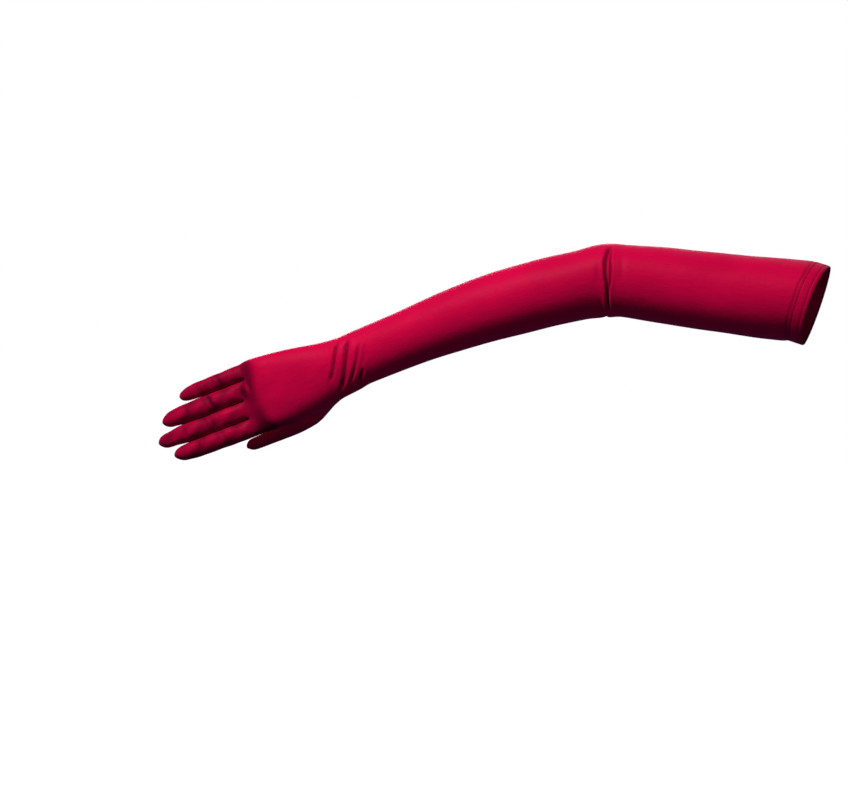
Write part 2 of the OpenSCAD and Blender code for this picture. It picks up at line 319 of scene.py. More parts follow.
# The mounds and the hollow of the palm: height, then place and width along the hand and across it, in mm.
PALM_MOUNDS = ((2.2, 48, 18, -18, 9), (1.0, 45, 22, 18, 9), (-1.6, 58, 20, 2, 9))
EDGE_COLUMN = 0.78   # where the columns at the hand's edges lie, as a share of the finger's half width
EDGE_ROOM = 0.4      # how far the hand's edges stand out beyond the fingers, mm
finger_y = {f: hand.back(digits[f].origin)[1] for f in FINGERS}
finger_r = {f: digit_girth[f].at(14)[0] for f in FINGERS}
column_y = np.zeros(9)
for k, f in enumerate(reversed(FINGERS)):
    column_y[2 * k + 1] = finger_y[f]
for k in (2, 4, 6):
    lower, higher = FINGERS[::-1][k // 2], FINGERS[::-1][k // 2 - 1]
    column_y[k] = (finger_y[lower] + finger_r[lower] + finger_y[higher] - finger_r[higher]) / 2
column_y[0] = finger_y["little"] + EDGE_COLUMN * finger_r["little"]
column_y[8] = finger_y["index"] - EDGE_COLUMN * finger_r["index"]
side_high = finger_y["little"] + finger_r["little"] + EDGE_ROOM
side_low = finger_y["index"] - finger_r["index"] - EDGE_ROOM
column_share = (column_y - (side_high + side_low) / 2) / ((side_high - side_low) / 2)


def column_of(j):
    """Which of the nine columns, counted from the little finger's edge, point j of a hand's ring is in."""
    return j - 1 if j < 10 else 19 - j


def palm_ring(x):
    """A ring of the hand: an oval at the wrist, and at the webs flat with its points in columns."""
    a, b, cy, cz = hand_girth.at(min(max(x, WRIST_CUT), 90))
    far = ease(8, 96, x)
    if x > 90:
        squeeze = ease(90, 104, x)
        cy = cy * (1 - squeeze) + squeeze * (side_high + side_low) / 2
        a = a * (1 - squeeze) + squeeze * (side_high - side_low) / 2
    power = 2 + 0.7 * far
    points = np.zeros((RING, 3))
    for j in range(RING):
        share = math.cos(ANGLES[j])
        palmar = 0 < j < 10
        if j not in (0, 10):
            share = share * (1 - far) + column_share[column_of(j)] * far
        depth = max(0.0, 1 - abs(share) ** power) ** (1 / power)
        z = b * depth * (1 if palmar else -1)
        y = cy + a * share
        if palmar:
            z += sum(high * bump(x, x0, wx) * bump(y, y0, wy) for high, x0, wx, y0, wy in PALM_MOUNDS)
        else:
            z -= bump(x, 84, 8) * sum(bump(y, finger_y[f], 4.2) for f in FINGERS)      # the knuckles
        points[j] = (x, y, z)
    points[:, 1:] = points[:, 1:] * WIDE - (WIDE - 1) * np.array((cy, 0))
    return hand.out(points)


PALM_STEPS = (5, 11, 19, 28, 40, 52, 62, 72, 81, 89, 96)
PATCH = PALM_STEPS.index(28)                  # the hand's panels and the thumb's opening begin here
WEB_ALONG = 100      # the webs' mean place along the hand, for the cloth's own coordinates, mm
for n, x in enumerate(PALM_STEPS):
    add_row(palm_ring(x), "wrist" if n < PATCH else "hand", arm_length + x)
patch_row = len(rows) - len(PALM_STEPS) + PATCH
web_points = hand.back(palm_ring(99))
for j in range(RING):
    if j in WEB_SIDES:
        web_points[j, 0] = WEB_SIDES[j]
    else:
        web_points[j, 0] = WEB_RING[column_of(j)]
        web_points[j, 2] *= 0.80 if column_of(j) in WEBS else 0.84
add_row(hand.out(web_points), "hand", arm_length + WEB_ALONG)
web_ring = rows[-1][0]
crotch = {k: cage.point(hand.out((WEBS[k] - 1.0, column_y[k], 0.4))) for k in WEBS}


def banded(name):
    """The glove's back is one panel and its palm side another, seamed on the little-finger side."""
    return lambda j: name + ("_front" if 1 <= j <= 9 else "_back")


for i, ((ring, name, along), (next_ring, _, next_along)) in enumerate(zip(rows, rows[1:])):
    skip = (8, 9) if i in (patch_row, patch_row + 1) else ()      # the thumb's opening
    piece = "hem" if name == "hem" else banded(name)
    cage.join(ring, next_ring, piece, (along, next_along), ARM_GIRTH, skip)


# -------- fingers
OCTAGON = np.radians(np.arange(8) * 45)
FOURCHETTES = ("fourchette_ring_little", "fourchette_middle_ring", "fourchette_index_middle")
# Where each finger's pieces meet, in mm from the knuckle.
MEET = {"index": (24, 45.5), "middle": (26, 50), "ring": (24, 45), "little": (18, 36)}
# Where the bend zone at the knuckle begins, and how far the bend zones reach either side of the next two joints,
# in mm.
BEND = {"index": (9, 9, 5.5), "middle": (8, 9, 5.5), "ring": (9, 9, 5.5), "little": (6, 8, 5.5)}
TIP_RINGS = (8.5, 5, 2.4, 0.8)                # the last rings of a finger or the thumb, mm from its end
ROUND_TIP = 8        # how much of a fingertip is round, mm
LAST_CUT = 0.6       # how near the end a finger's or the thumb's girth is read, mm
BESIDE_JOINT = 4.5   # from a joint to the rings beside it, mm


def joint_x(place, name):
    return place.back(joint_at(name))[0]


def room(name, x, side):
    """How far the finger's side at x may swell towards its neighbour on that side, in mm."""
    k = FINGERS.index(name) - side
    if not 0 <= k < len(FINGERS):
        return SNUG
    other, place = FINGERS[k], digits[name]
    a, _, cy, _ = digit_girth[name].at(x)
    edge = place.out((x, cy + side * a, 0))
    away = digits[other].back(edge)
    if away[0] > digit_girth[other].end() - ROUND_TIP or x > digit_girth[name].end() - ROUND_TIP:
        return SNUG
    other_half, _, other_middle, _ = digit_girth[other].at(max(away[0], 0.5))
    gap = abs(away[1] - other_middle) - other_half
    return float(np.clip((gap - FINGER_GAP) / 2, SNUG, WIDEST_SWELL))


def finger_ring(place, name, x, pad=0.0):
    """A ring of eight points round a finger; pad is how much fuller its palm side is, as a share."""
    a, b, cy, cz = digit_girth[name].at(x)
    swell = np.where(np.cos(OCTAGON) > 0, room(name, x, 1), room(name, x, -1))
    y, z = NARROW * (a + swell) * np.cos(OCTAGON), NARROW * b * np.sin(OCTAGON)
    z = np.where(z > 0, z * (1 + pad), z)
    return place.out(np.stack((np.full(8, x), cy + y, cz + z), 1))


def finger(name, k):
    """Finger number k from the little finger, with its ring of web points."""
    place, girth = digits[name], digit_girth[name]
    columns = (2 * k, 2 * k + 1, 2 * k + 2)
    high = web_ring[0] if k == 0 else crotch[columns[0]]
    low = web_ring[10] if k == 3 else crotch[columns[2]]
    under = [web_ring[1 + c] for c in columns]
    over = [web_ring[19 - c] for c in reversed(columns)]
    ring = [high, *under, low, *over]
    middle, tip = joint_x(place, name + "_middle_joint"), joint_x(place, name + "_tip_joint")
    end = girth.end()
    first = max(BEND[name][0], 7) + 0.5
    knuckles = arm_length + hand.back(place.origin)[0]
    meet_a, meet_b = MEET[name]
    steps = sorted({
        first, (first + meet_a) / 2, meet_a, middle - BESIDE_JOINT, middle, middle + BESIDE_JOINT, meet_b,
        tip - 3, tip + 1.5, (tip + end) / 2 - 2,
    })
    steps += [end - short for short in TIP_RINGS]

    def root_piece(j):
        """The strips between the fingers and the hand's two panels, round the finger's root."""
        if j in (0, 7) and k > 0:
            return FOURCHETTES[k - 1]
        if j in (3, 4) and k < 3:
            return FOURCHETTES[k]
        return "hand_back" if j in (0, 5, 6, 7) else "hand_front"

    for n, x in enumerate(steps):
        new = cage.ring(finger_ring(place, name, min(x, end - LAST_CUT), 0.05 * bump(x, end - 9, 8)))
        if n == 0:
            cage.join(ring, new, root_piece, (arm_length + WEB_ALONG, knuckles + x), FINGER_GIRTH)
        else:
            part = "lower" if steps[n - 1] < meet_a else "middle" if steps[n - 1] < meet_b else "tip"
            cage.join(ring, new, name + "_" + part, (knuckles + steps[n - 1], knuckles + x), FINGER_GIRTH)
        ring = new
    cage.close(ring, cage.point(place.out((end + 0.1, 0, 0))), name + "_tip", knuckles + end, FINGER_GIRTH)


for k, name in enumerate(reversed(FINGERS)):
    finger(name, k)

# -------- thumb
# The thumb grows from an opening of four faces that the palm leaves free.
patch = [rows[patch_row + n][0] for n in (0, 1, 2)]
thumb_ring = [
    patch[2][10], patch[2][9], patch[2][8], patch[1][8], patch[0][8], patch[0][9], patch[0][10], patch[1][10]
]
THUMB_OUT = np.array((0.0, -0.83, 0.55))     # from the palm's edge to the thumb, in the hand's frame
THUMB_ALONG = np.array((0.0, 0.55, 0.83))
thumb_axes = [thumb.axes @ hand.axes.T @ v for v in (THUMB_OUT, THUMB_ALONG)]
thumb_turn = np.radians(np.array((-45, 0, 45, 90, 135, 180, 225, 270)))
thumb_joint = joint_x(thumb, "thumb_tip_joint")
thumb_end = thumb_girth.end()
thumb_start = arm_length + hand.back(thumb.origin)[0]
THUMB_MEET = 27      # where the thumb's two pieces meet, mm from its root
THUMB_ROOT_RISE = 1.5     # how much nearer the index finger its root is than the CAD solid, mm
THUMB_LEAN = 5.0     # how far the first rings lean, so that the thumb leaves the palm's side, mm
THUMB_RISE = 0.7     # how much nearer the index finger the tip is than its CAD solid, mm
THUMB_BLUNT = 1.1    # how much fuller the end of the tip is on the index finger's side, mm
steps = [7, 12, 19, THUMB_MEET, thumb_joint - BESIDE_JOINT, thumb_joint, thumb_joint + BESIDE_JOINT, 52, 58]
steps += [thumb_end - short for short in TIP_RINGS]
for n, x in enumerate(steps):
    a, b, cy, cz = thumb_girth.at(min(x, thumb_end - LAST_CUT))
    lean = THUMB_LEAN * (1 - ease(4, 24, x))
    shrink = 1 - 0.12 * (1 - ease(4, 20, x))
    points = []
    for turn in thumb_turn:
        way = -math.cos(turn) * thumb_axes[0] + math.sin(turn) * thumb_axes[1]
        y, z = NARROW * shrink * a * way[1], NARROW * shrink * b * way[2]
        y += THUMB_ROOT_RISE * (1 - ease(4, 26, x)) + THUMB_RISE * ease(22, 66, x)
        y += THUMB_BLUNT * ease(thumb_end - 12, thumb_end - 3, x) * max(way[1], 0)
        points.append((x + lean * math.cos(turn), cy + y, cz + z))
    new = cage.ring(thumb.out(points))
    last_x = steps[n - 1] if n else 0
    part = "hand_front" if n == 0 else "thumb_lower" if last_x < THUMB_MEET else "thumb_tip"
    cage.join(thumb_ring, new, part, (thumb_start + last_x, thumb_start + x), FINGER_GIRTH)
    thumb_ring = new
thumb_point = cage.point(thumb.out((thumb_end + 0.1, 0, 0)))
cage.close(thumb_ring, thumb_point, "thumb_tip", thumb_start + thumb_end, FINGER_GIRTH)


# -------- the smooth surface
def subdivided(cage, levels):
    """The cage's smooth surface: points, faces, each face's piece and each corner's place on the cloth."""
    mesh = bpy.data.meshes.new("cage")
    mesh.from_pydata([tuple(p) for p in cage.points], [], cage.faces)
    for name in cage.names:
        mesh.materials.append(bpy.data.materials.new("piece_" + name))
    mesh.polygons.foreach_set("material_index", cage.pieces)
    mesh.uv_layers.new(name=WEAVE_MAP).data.foreach_set("uv", np.array(cage.weave, float).ravel())
    ob = in_scene("cage", mesh)
    modifier = ob.modifiers.new("smooth", "SUBSURF")
    modifier.levels = modifier.render_levels = levels
    done = ob.evaluated_get(bpy.context.evaluated_depsgraph_get()).to_mesh()
    points = np.zeros(len(done.vertices) * 3)
    done.vertices.foreach_get("co", points)
    corners = np.zeros(len(done.loops), int)
    done.loops.foreach_get("vertex_index", corners)
    pieces = np.zeros(len(done.polygons), int)
    done.polygons.foreach_get("material_index", pieces)
    weave = np.zeros(len(done.loops) * 2)
    done.uv_layers[WEAVE_MAP].data.foreach_get("uv", weave)
    bpy.data.objects.remove(ob)
    for name in cage.names:
        bpy.data.materials.remove(bpy.data.materials["piece_" + name])
    return points.reshape(-1, 3), corners.reshape(-1, 4), pieces, weave.reshape(-1, 4, 2)


def face_normals(points, faces):
    """Each face's normal, twice as long as the face's area."""
    return np.cross(points[faces[:, 2]] - points[faces[:, 0]], points[faces[:, 3]] - points[faces[:, 1]])


def point_normals(points, faces):
    n = face_normals(points, faces)
    total = np.zeros_like(points)
    for c in range(4):
        np.add.at(total, faces[:, c], n)
    return total / np.maximum(np.linalg.norm(total, axis=1, keepdims=True), 1e-12)


WEAVE_MAP, SHADE = "weave", "fold_shade"
points, faces, face_piece, face_weave = subdivided(cage, LEVELS)
normals = point_normals(points, faces)


def points_of(*names):
    """1 at the points of these pieces and 0 elsewhere."""
    chosen = np.isin(face_piece, [cage.names.index(n) for n in names])
    mask = np.zeros(len(points))
    mask[np.unique(faces[chosen])] = 1
    return mask


# -------- folds
# A fold runs round a stretch: its line is [angle round the stretch, mm along it], from 0 at the
# little-finger side through 90 at the palm side and 180 at the thumb side to 270 at the back.
ARM = ("hem", "sleeve_back", "sleeve_front", "wrist_back", "wrist_front")
HAND = ("wrist_back", "wrist_front", "hand_back", "hand_front")
ELBOW_FOLDS = (
    # line, half width, depth, ridge beside it
    (((334, 174.6), (315, 175.1), (300, 175.1), (281, 173.7), (265, 171.1), (250, 170), (222, 169.2),
      (204, 169.4)), 1.35, 2.9, 0.35),
    (((330, 172.6), (306, 171.2), (292, 169.6), (276, 168.6), (263, 168.4), (252, 169.2)), 1.0, 1.6, 0.4),
    (((300, 181.4), (285, 180.8), (262, 179.2)), 2.4, 0.5, 0.15),
    (((318, 163), (290, 160.6), (268, 161)), 2.6, 0.3, 0.12),
    (((28, 174), (60, 173.6), (90, 171.5), (118, 169.5), (142, 169)), 1.7, 2.1, 0.4),
    (((36, 169.5), (64, 167), (92, 166.2), (112, 168)), 1.3, 1.3, 0.4),
    (((72, 180.6), (100, 178.6)), 2.2, 0.6, 0.2),
)
WRIST_FOLDS = (
    (((334, 8.0), (310, 11.6), (288, 15.0), (264, 19.2), (238, 24)), 1.7, 1.7, 0.45),
    (((328, -1.5), (298, 2.4), (267, 7), (234, 12.2), (208, 19)), 2.4, 1.7, 0.35),
    (((304, -10), (267, -4.2), (241, 2), (216, 9.4)), 1.7, 1.15, 0.35),
    (((240, -6), (226, -3), (205, 2)), 1.6, 1.2, 0.25),
    (((300, -15), (272, -12), (250, -8)), 2.4, 0.35, 0.15),
    (((36, 5), (62, 3.4), (92, 2.6), (124, 5), (150, 9)), 1.8, 0.9, 0.35),
    (((52, -5), (84, -6.6), (116, -5.6), (146, -1)), 2.0, 0.7, 0.3),
    (((60, 12), (96, 10.6), (126, 13)), 2.0, 0.4, 0.2),
)


RIDGE_AT = 1.9       # from a fold's line to the ridges beside it, in half widths


def fold(place, line, width, depth, ridge, where):
    """How far each point sinks (-) or rises (+) at a fold, in mm."""
    q = place.back(points)
    turn = np.degrees(np.arctan2(q[:, 2], q[:, 1])) % 360
    order = np.argsort([a for a, _ in line])
    angles = np.array([line[i][0] for i in order], float)
    along = np.array([line[i][1] for i in order], float)
    u = (q[:, 0] - np.interp(turn, angles, along)) / width
    ends = ease(angles[0] - 4, angles[0] + 14, turn) * (1 - ease(angles[-1] - 14, angles[-1] + 4, turn))
    shape = -depth * np.exp(-np.abs(u) ** 1.7) + ridge * (bump(u, RIDGE_AT, 1) + bump(u, -RIDGE_AT, 1))
    return where * ends * shape


def ripples(q, sizes, seed, strength):
    """A slow unevenness of the cloth, from a few crossed waves."""
    total = np.zeros(len(q))
    for k, size in enumerate(sizes):
        way = np.array([math.cos(seed + 1.9 * k), math.sin(seed + 2.7 * k), math.cos(seed + 4.1 * k)])
        total += np.sin(q @ way * math.tau / size + seed * (k + 1)) / len(sizes)
    return strength * total


arm_points, hand_points = points_of(*ARM), points_of(*HAND)
rise = np.zeros(len(points))
for spec in ELBOW_FOLDS:
    rise += fold(upper, *spec, arm_points)
for spec in WRIST_FOLDS:
    rise += fold(hand, *spec, hand_points)
# The cloth is bunched where the elbow bends, so its inner side stays full.
ELBOW_FULLNESS = 2.4      # mm
in_upper = upper.back(points)
rise += ELBOW_FULLNESS * arm_points * bump(in_upper[:, 0], 174, 9) * np.clip(-normals @ UP, 0, 1) ** 2
# shade is how much of the satin's colour gives way to SHADE_COLOUR, first in the deep part of each fold.
shade = np.clip(-0.5 * rise, 0, 0.85)

# The cloth drops from the knuckles to the fingers along a slanting line across the back of the hand.
KNUCKLE_DROP = 1.6   # mm
KNUCKLE_Y = (-24.0, -14.0, -5.0, 8.0, 28.0)
KNUCKLE_X = (84.0, 86.5, 88.0, 89.0, 84.0)
in_hand = hand.back(points)
facing_back = np.clip(-(normals @ hand.z), 0, 1)
past = in_hand[:, 0] - np.interp(in_hand[:, 1], KNUCKLE_Y, KNUCKLE_X)
near_fingers = points_of(*(p for p in cage.names if p not in ARM and not p.startswith("thumb")))
rise -= KNUCKLE_DROP * near_fingers * facing_back ** 0.5 * ease(-3, 9, past) * (1 - ease(12, 40, past))
# The drop is darkest away from the middle finger, and the fingers past it stay in half shade.
darkest = 0.5 - 0.2 * bump(in_hand[:, 1], -2, 7)
shade += darkest * near_fingers * facing_back ** 0.3 * ease(-4, 7, past) * (1 - ease(6, 20, past))
shade += 0.5 * near_fingers * ease(-2, 12, past)
# The thumb hangs below the hand, out of the light from above.
shade += 0.4 * points_of("thumb_lower", "thumb_tip") * ease(4, 22, thumb.back(points)[:, 0])
# Below the index finger's edge of the hand the cloth lies in the shade of the knuckles.
off_palm = 1 - np.clip(normals @ hand.z, 0, 1)
edge_y = np.interp(in_hand[:, 0], (58, 95), (-32, -24.5))
along_edge = ease(52, 72, in_hand[:, 0]) * (1 - ease(98, 110, in_hand[:, 0]))
shade += 0.7 * near_fingers * off_palm * bump(in_hand[:, 1], edge_y, 5) * along_edge


def spot(x, y, long, wide):
    """1 at one place on the back of the hand, fading to 0 around it."""
    return near_fingers * facing_back * bump(in_hand[:, 0], x, long) * bump(in_hand[:, 1], y, wide)


# A small loop of loose cloth stands at the root of the ring finger, with a crease past it. The crease is darkened
# with painted shade, and the loop's painted shade is taken away so that it stands lighter, a painted highlight.
rise += 0.7 * spot(97.4, 14.5, 1.4, 4.5)
rise -= 1.0 * spot(101.6, 12, 1.6, 4)
shade += 0.6 * spot(101.8, 11, 1.6, 4.5)
shade -= 0.7 * spot(97.2, 14, 1.4, 5)

BACK, PALMAR = 280, 90          # the middle of a finger's back and of its palm side, as angles round it
DEEPER = {"ring": 2.4}          # the ring finger's middle joint has a deeper crease than the others
for f in FINGERS:
    q = digits[f].back(points)
    own = points_of(f + "_lower", f + "_middle", f + "_tip")
    turn = np.degrees(np.arctan2(q[:, 2], q[:, 1])) % 360
    middle, tip = joint_x(digits[f], f + "_middle_joint"), joint_x(digits[f], f + "_tip_joint")
    # Each crease: mm from the knuckle, half width, depth.
    creases = ((middle - 3, 2.3, 0.3 * DEEPER.get(f, 1.0)), (middle + 2.4, 1.8, 0.2), (tip - 1, 2.2, 0.2))
    for x, width, depth in creases:
        slanting = x + 2.2 * np.sin(np.radians(turn - BACK))
        dent = own * depth * bump(turn, BACK, 50) * bump(q[:, 0], slanting, width)
        rise -= dent
        # painted shade in each crease on the back of the finger, as strong as its dent
        shade += 1.1 * dent
        rise -= own * 1.3 * depth * bump(turn, PALMAR, 55) * bump(q[:, 0], x + 1.0, width)
    uneven = own * ripples(q, (11, 15, 19), middle, 1.0) * ease(2, 10, q[:, 0])
    rise += 0.26 * uneven
    # painted shade and painted highlight follow the ripples: darker where the cloth sinks, lighter where it rises
    shade -= 0.3 * uneven
rise += arm_points * ripples(in_hand, (46, 63, 88), 0.7, 0.28)
rise += points_of("hand_back", "hand_front") * ripples(in_hand, (30, 41, 57), 2.2, 0.2)

# Each row of stitching presses a groove into the hem, and so does the seam where the hem is sewn on. Each groove
# is also darkened with painted shade.
STITCH_ROWS = ("outer", "inner")
stitch_points = [hem.back(node_edges(["hem_stitching_" + row])[0]) for row in STITCH_ROWS]
stitch_x = [float(q[:, 0].mean()) for q in stitch_points]
in_hem = hem.back(points)
in_hem[:, 0] -= hem_pull(in_hem)
for x in stitch_x:
    pressed = points_of("hem") * bump(in_hem[:, 0], x, 0.9)
    rise -= 0.3 * pressed
    shade += 0.2 * pressed
pressed = points_of("hem", "sleeve_back", "sleeve_front") * bump(in_hem[:, 0], hem_width + 0.6, 1.3)
rise -= 0.28 * pressed
shade += 0.4 * pressed
# painted shade along the last few mm of the hem's open edge
shade += 0.5 * points_of("hem") * (1 - ease(0.5, 3.4, in_hem[:, 0]))
shade = np.clip(shade, 0, 1)

points = points + normals * (rise * MM)[:, None]
normals = point_normals(points, faces)


# -------- materials
SHADE_COLOUR = (0.11, 0.0004, 0.014)
SATIN_BRIGHT, SATIN_DEEP = (0.66, 0.0012, 0.050), (0.55, 0.0010, 0.042)
THREAD_DARK, THREAD_LIGHT = (0.22, 0.001, 0.022), (0.42, 0.001, 0.034)
FLOAT_LENGTH, FLOAT_WIDTH = 1.3, 0.24      # one float of the warp on the satin's face, mm


def add(tree, kind, props=(), **inputs):
    """A node with its properties and inputs set. An input is a value, or a (node, output name) pair."""
    node = tree.nodes.new(kind)
    for key, value in dict(props).items():
        setattr(node, key, value)
    for key, value in inputs.items():
        name = key.replace("_", " ")
        socket = node.inputs[int(key[1:])] if key[0] == "n" and key[1:].isdigit() else node.inputs[name]
        if isinstance(value, tuple) and isinstance(value[0], bpy.types.Node):
            tree.links.new(value[0].outputs[value[1]], socket)
        else:
            socket.default_value = value
    return node


def set_inputs(node, **values):
    """Constant values of a node's inputs, which are named with _ for each space."""
    for name, value in values.items():
        node.inputs[name.replace("_", " ")].default_value = value


def new_material(name):
    """A material, its node tree and its shader."""
    material = bpy.data.materials.new(name)
    material.use_nodes = True
    return material, material.node_tree, material.node_tree.nodes["Principled BSDF"]


def mixed(tree, share, first, second, way="MIX"):
    """Two colours, mixed or multiplied."""
    how = (("data_type", "RGBA"), ("blend_type", way))
    return add(tree, "ShaderNodeMix", how, n0=share, n6=first, n7=second)


def ramp(tree, source, low, high):
    """A colour ramp over a node's factor, from (place, colour) to (place, colour)."""
    node = add(tree, "ShaderNodeValToRGB", Fac=(source, "Fac"))
    for element, (position, colour) in zip(node.color_ramp.elements, (low, high)):
        element.position, element.color = position, (*colour, 1)
    return node


def spread(tree, source, low, high):
    """A noise node's factor, spread over a range of values."""
    usual = {"From_Min": 0.3, "From_Max": 0.7}
    return add(tree, "ShaderNodeMapRange", Value=(source, "Fac"), To_Min=low, To_Max=high, **usual)


def cloth_material(name, bright, deep, weave_depth):
    """Satin: long floats of the warp along the glove, a slow drift of colour and a soft pinkish sheen."""
    material, tree, shader = new_material(name)
    place = add(tree, "ShaderNodeUVMap", (("uv_map", WEAVE_MAP),))
    turned = add(tree, "ShaderNodeMapping", Vector=(place, "UV"), Rotation=(0, 0, math.pi / 2))
    floats = add(
        tree, "ShaderNodeTexBrick", (("offset", 0.37), ("offset_frequency", 1)),
        Vector=(turned, "Vector"), Scale=1.0,
        Color1=(1, 1, 1, 1), Color2=(0.86, 0.86, 0.86, 1), Mortar=(0.55, 0.55, 0.55, 1),
        Mortar_Size=0.03, Mortar_Smooth=0.7, Brick_Width=FLOAT_LENGTH, Row_Height=FLOAT_WIDTH,
    )
    drift = add(tree, "ShaderNodeTexNoise", Vector=(place, "UV"), Scale=0.018, Detail=4.0, Roughness=0.55)
    drawn = add(tree, "ShaderNodeMapping", Vector=(place, "UV"), Scale=(2.2, 0.06, 1))
    streaks = add(tree, "ShaderNodeTexNoise", Vector=(drawn, "Vector"), Scale=1.0, Detail=3.0)
    dye = ramp(tree, drift, (0.3, deep), (0.68, bright))
    threads = mixed(tree, 0.3, (dye, "Color"), (floats, "Color"), "MULTIPLY")
    slub = spread(tree, streaks, 0.86, 1.08)
    streaked = mixed(tree, 1.0, (threads, 2), (slub, "Result"), "MULTIPLY")
    # painted shade: where the fold_shade attribute is high, the colour gives way to SHADE_COLOUR
    fold_shade = add(tree, "ShaderNodeAttribute", (("attribute_name", SHADE),))
    shaded = mixed(tree, (fold_shade, "Fac"), (streaked, 2), (*SHADE_COLOUR, 1))
    tree.links.new(shaded.outputs[2], shader.inputs["Base Color"])
    gloss = spread(tree, streaks, 0.40, 0.5)
    tree.links.new(gloss.outputs["Result"], shader.inputs["Roughness"])
    puckers = add(tree, "ShaderNodeTexNoise", Vector=(place, "UV"), Scale=0.16, Detail=2.0)
    soft = add(tree, "ShaderNodeBump", Strength=0.35, Distance=0.0005, Height=(puckers, "Fac"))
    fine = add(
        tree, "ShaderNodeBump", Strength=weave_depth, Distance=0.00005,
        Height=(floats, "Color"), Normal=(soft, "Normal"),
    )
    tree.links.new(fine.outputs["Normal"], shader.inputs["Normal"])
    set_inputs(shader, Specular_IOR_Level=0.018)
    set_inputs(shader, Sheen_Weight=0.22, Sheen_Roughness=0.35, Sheen_Tint=(1.0, 0.25, 0.75, 1))
    return material


def thread_material():
    """Twisted polyester thread, a shade deeper than the satin."""
    material, tree, shader = new_material("sewing_thread")
    place = add(tree, "ShaderNodeTexCoord")
    ply = add(tree, "ShaderNodeTexWave", Vector=(place, "Object"), Scale=900.0, Distortion=1.5)
    tint = ramp(tree, ply, (0, THREAD_DARK), (1, THREAD_LIGHT))
    tree.links.new(tint.outputs["Color"], shader.inputs["Base Color"])
    twist = add(tree, "ShaderNodeBump", Strength=0.5, Distance=0.0001, Height=(ply, "Fac"))
    tree.links.new(twist.outputs["Normal"], shader.inputs["Normal"])
    set_inputs(shader, Roughness=0.6, Specular_IOR_Level=0.15)
    return material


satin = cloth_material("stretch_satin", SATIN_BRIGHT, SATIN_DEEP, 0.35)
seam_bright = tuple(0.72 * c for c in SATIN_BRIGHT)
seam_deep = tuple(0.7 * c for c in SATIN_DEEP)
satin_seam = cloth_material("satin_seam", seam_bright, seam_deep, 0.5)
thread = thread_material()


# -------- pieces of cloth
def faces_of(name):
    """Which faces of the surface are this piece's."""
    return face_piece == cage.names.index(name)


def side_edges(corners):
    """Each face's edges, as pairs of point numbers."""
    return np.stack((corners, np.roll(corners, -1, axis=1)), -1).reshape(-1, 2)


def link(name, mesh, material):
    """The mesh as an object with its material and the material's slot."""
    ob = in_scene(name, mesh)
    mesh.materials.append(material)
    return ob


def closed_cloth(name, thickness):
    """The piece's part of the surface as cloth of its own thickness, closed at its edges."""
    mine, weave = faces[faces_of(name)], face_weave[faces_of(name)]
    used, local = np.unique(mine, return_inverse=True)
    local = local.reshape(-1, 4)
    outer, n = points[used], normals[used]
    inner = outer - n * (thickness * MM)
    count = len(used)
    edges = side_edges(local)
    _, where, times = np.unique(np.sort(edges, axis=1), axis=0, return_index=True, return_counts=True)
    rim = edges[where[times == 1]]
    rims = np.stack((rim[:, 1], rim[:, 0], rim[:, 0] + count, rim[:, 1] + count), 1)
    every = np.concatenate((local, local[:, ::-1] + count, rims))
    mesh = bpy.data.meshes.new(name)
    mesh.from_pydata(np.concatenate((outer, inner)), [], every)
    mesh.polygons.foreach_set("use_smooth", [True] * len(every))
    vertex_weave = np.zeros((count, 2))
    vertex_weave[local] = weave
    rim_weave = vertex_weave[rims % count]
    corners = np.concatenate((weave, weave[:, ::-1], rim_weave))
    mesh.uv_layers.new(name=WEAVE_MAP).data.foreach_set("uv", corners.ravel())
    flat = face_normals(np.concatenate((outer, inner)), rims)
    flat /= np.maximum(np.linalg.norm(flat, axis=1, keepdims=True), 1e-15)
    both = np.concatenate((n, -n))
    shades = mesh.attributes.new(SHADE, "FLOAT", "POINT")
    shades.data.foreach_set("value", np.tile(shade[used], 2))
    mesh.normals_split_custom_set(np.concatenate((
        both[every[:len(every) - len(rims)].ravel()], np.repeat(flat, 4, axis=0))).tolist())
    return link(name + "_satin", mesh, satin)


made = {name: closed_cloth(name, HEM_CLOTH if name == "hem" else CLOTH) for name in cage.names}


# -------- seams and stitches
def boundary_line(a, b, side, place):
    """The points where two pieces meet on one side, in order along the place's x."""
    edges_a, edges_b = (set(map(tuple, np.sort(side_edges(faces[faces_of(n)]), axis=1))) for n in (a, b))
    shared = sorted({i for edge in edges_a & edges_b for i in edge})
    ids = np.array([i for i in shared if normals[i] @ side > 0])
    return ids[np.argsort(place.back(points[ids])[:, 0])]


SEAM_HALF_WIDTH, SEAM_HEIGHT, SEAM_SINK = 0.9, 0.5, 0.35      # mm; its edges sink into the cloth


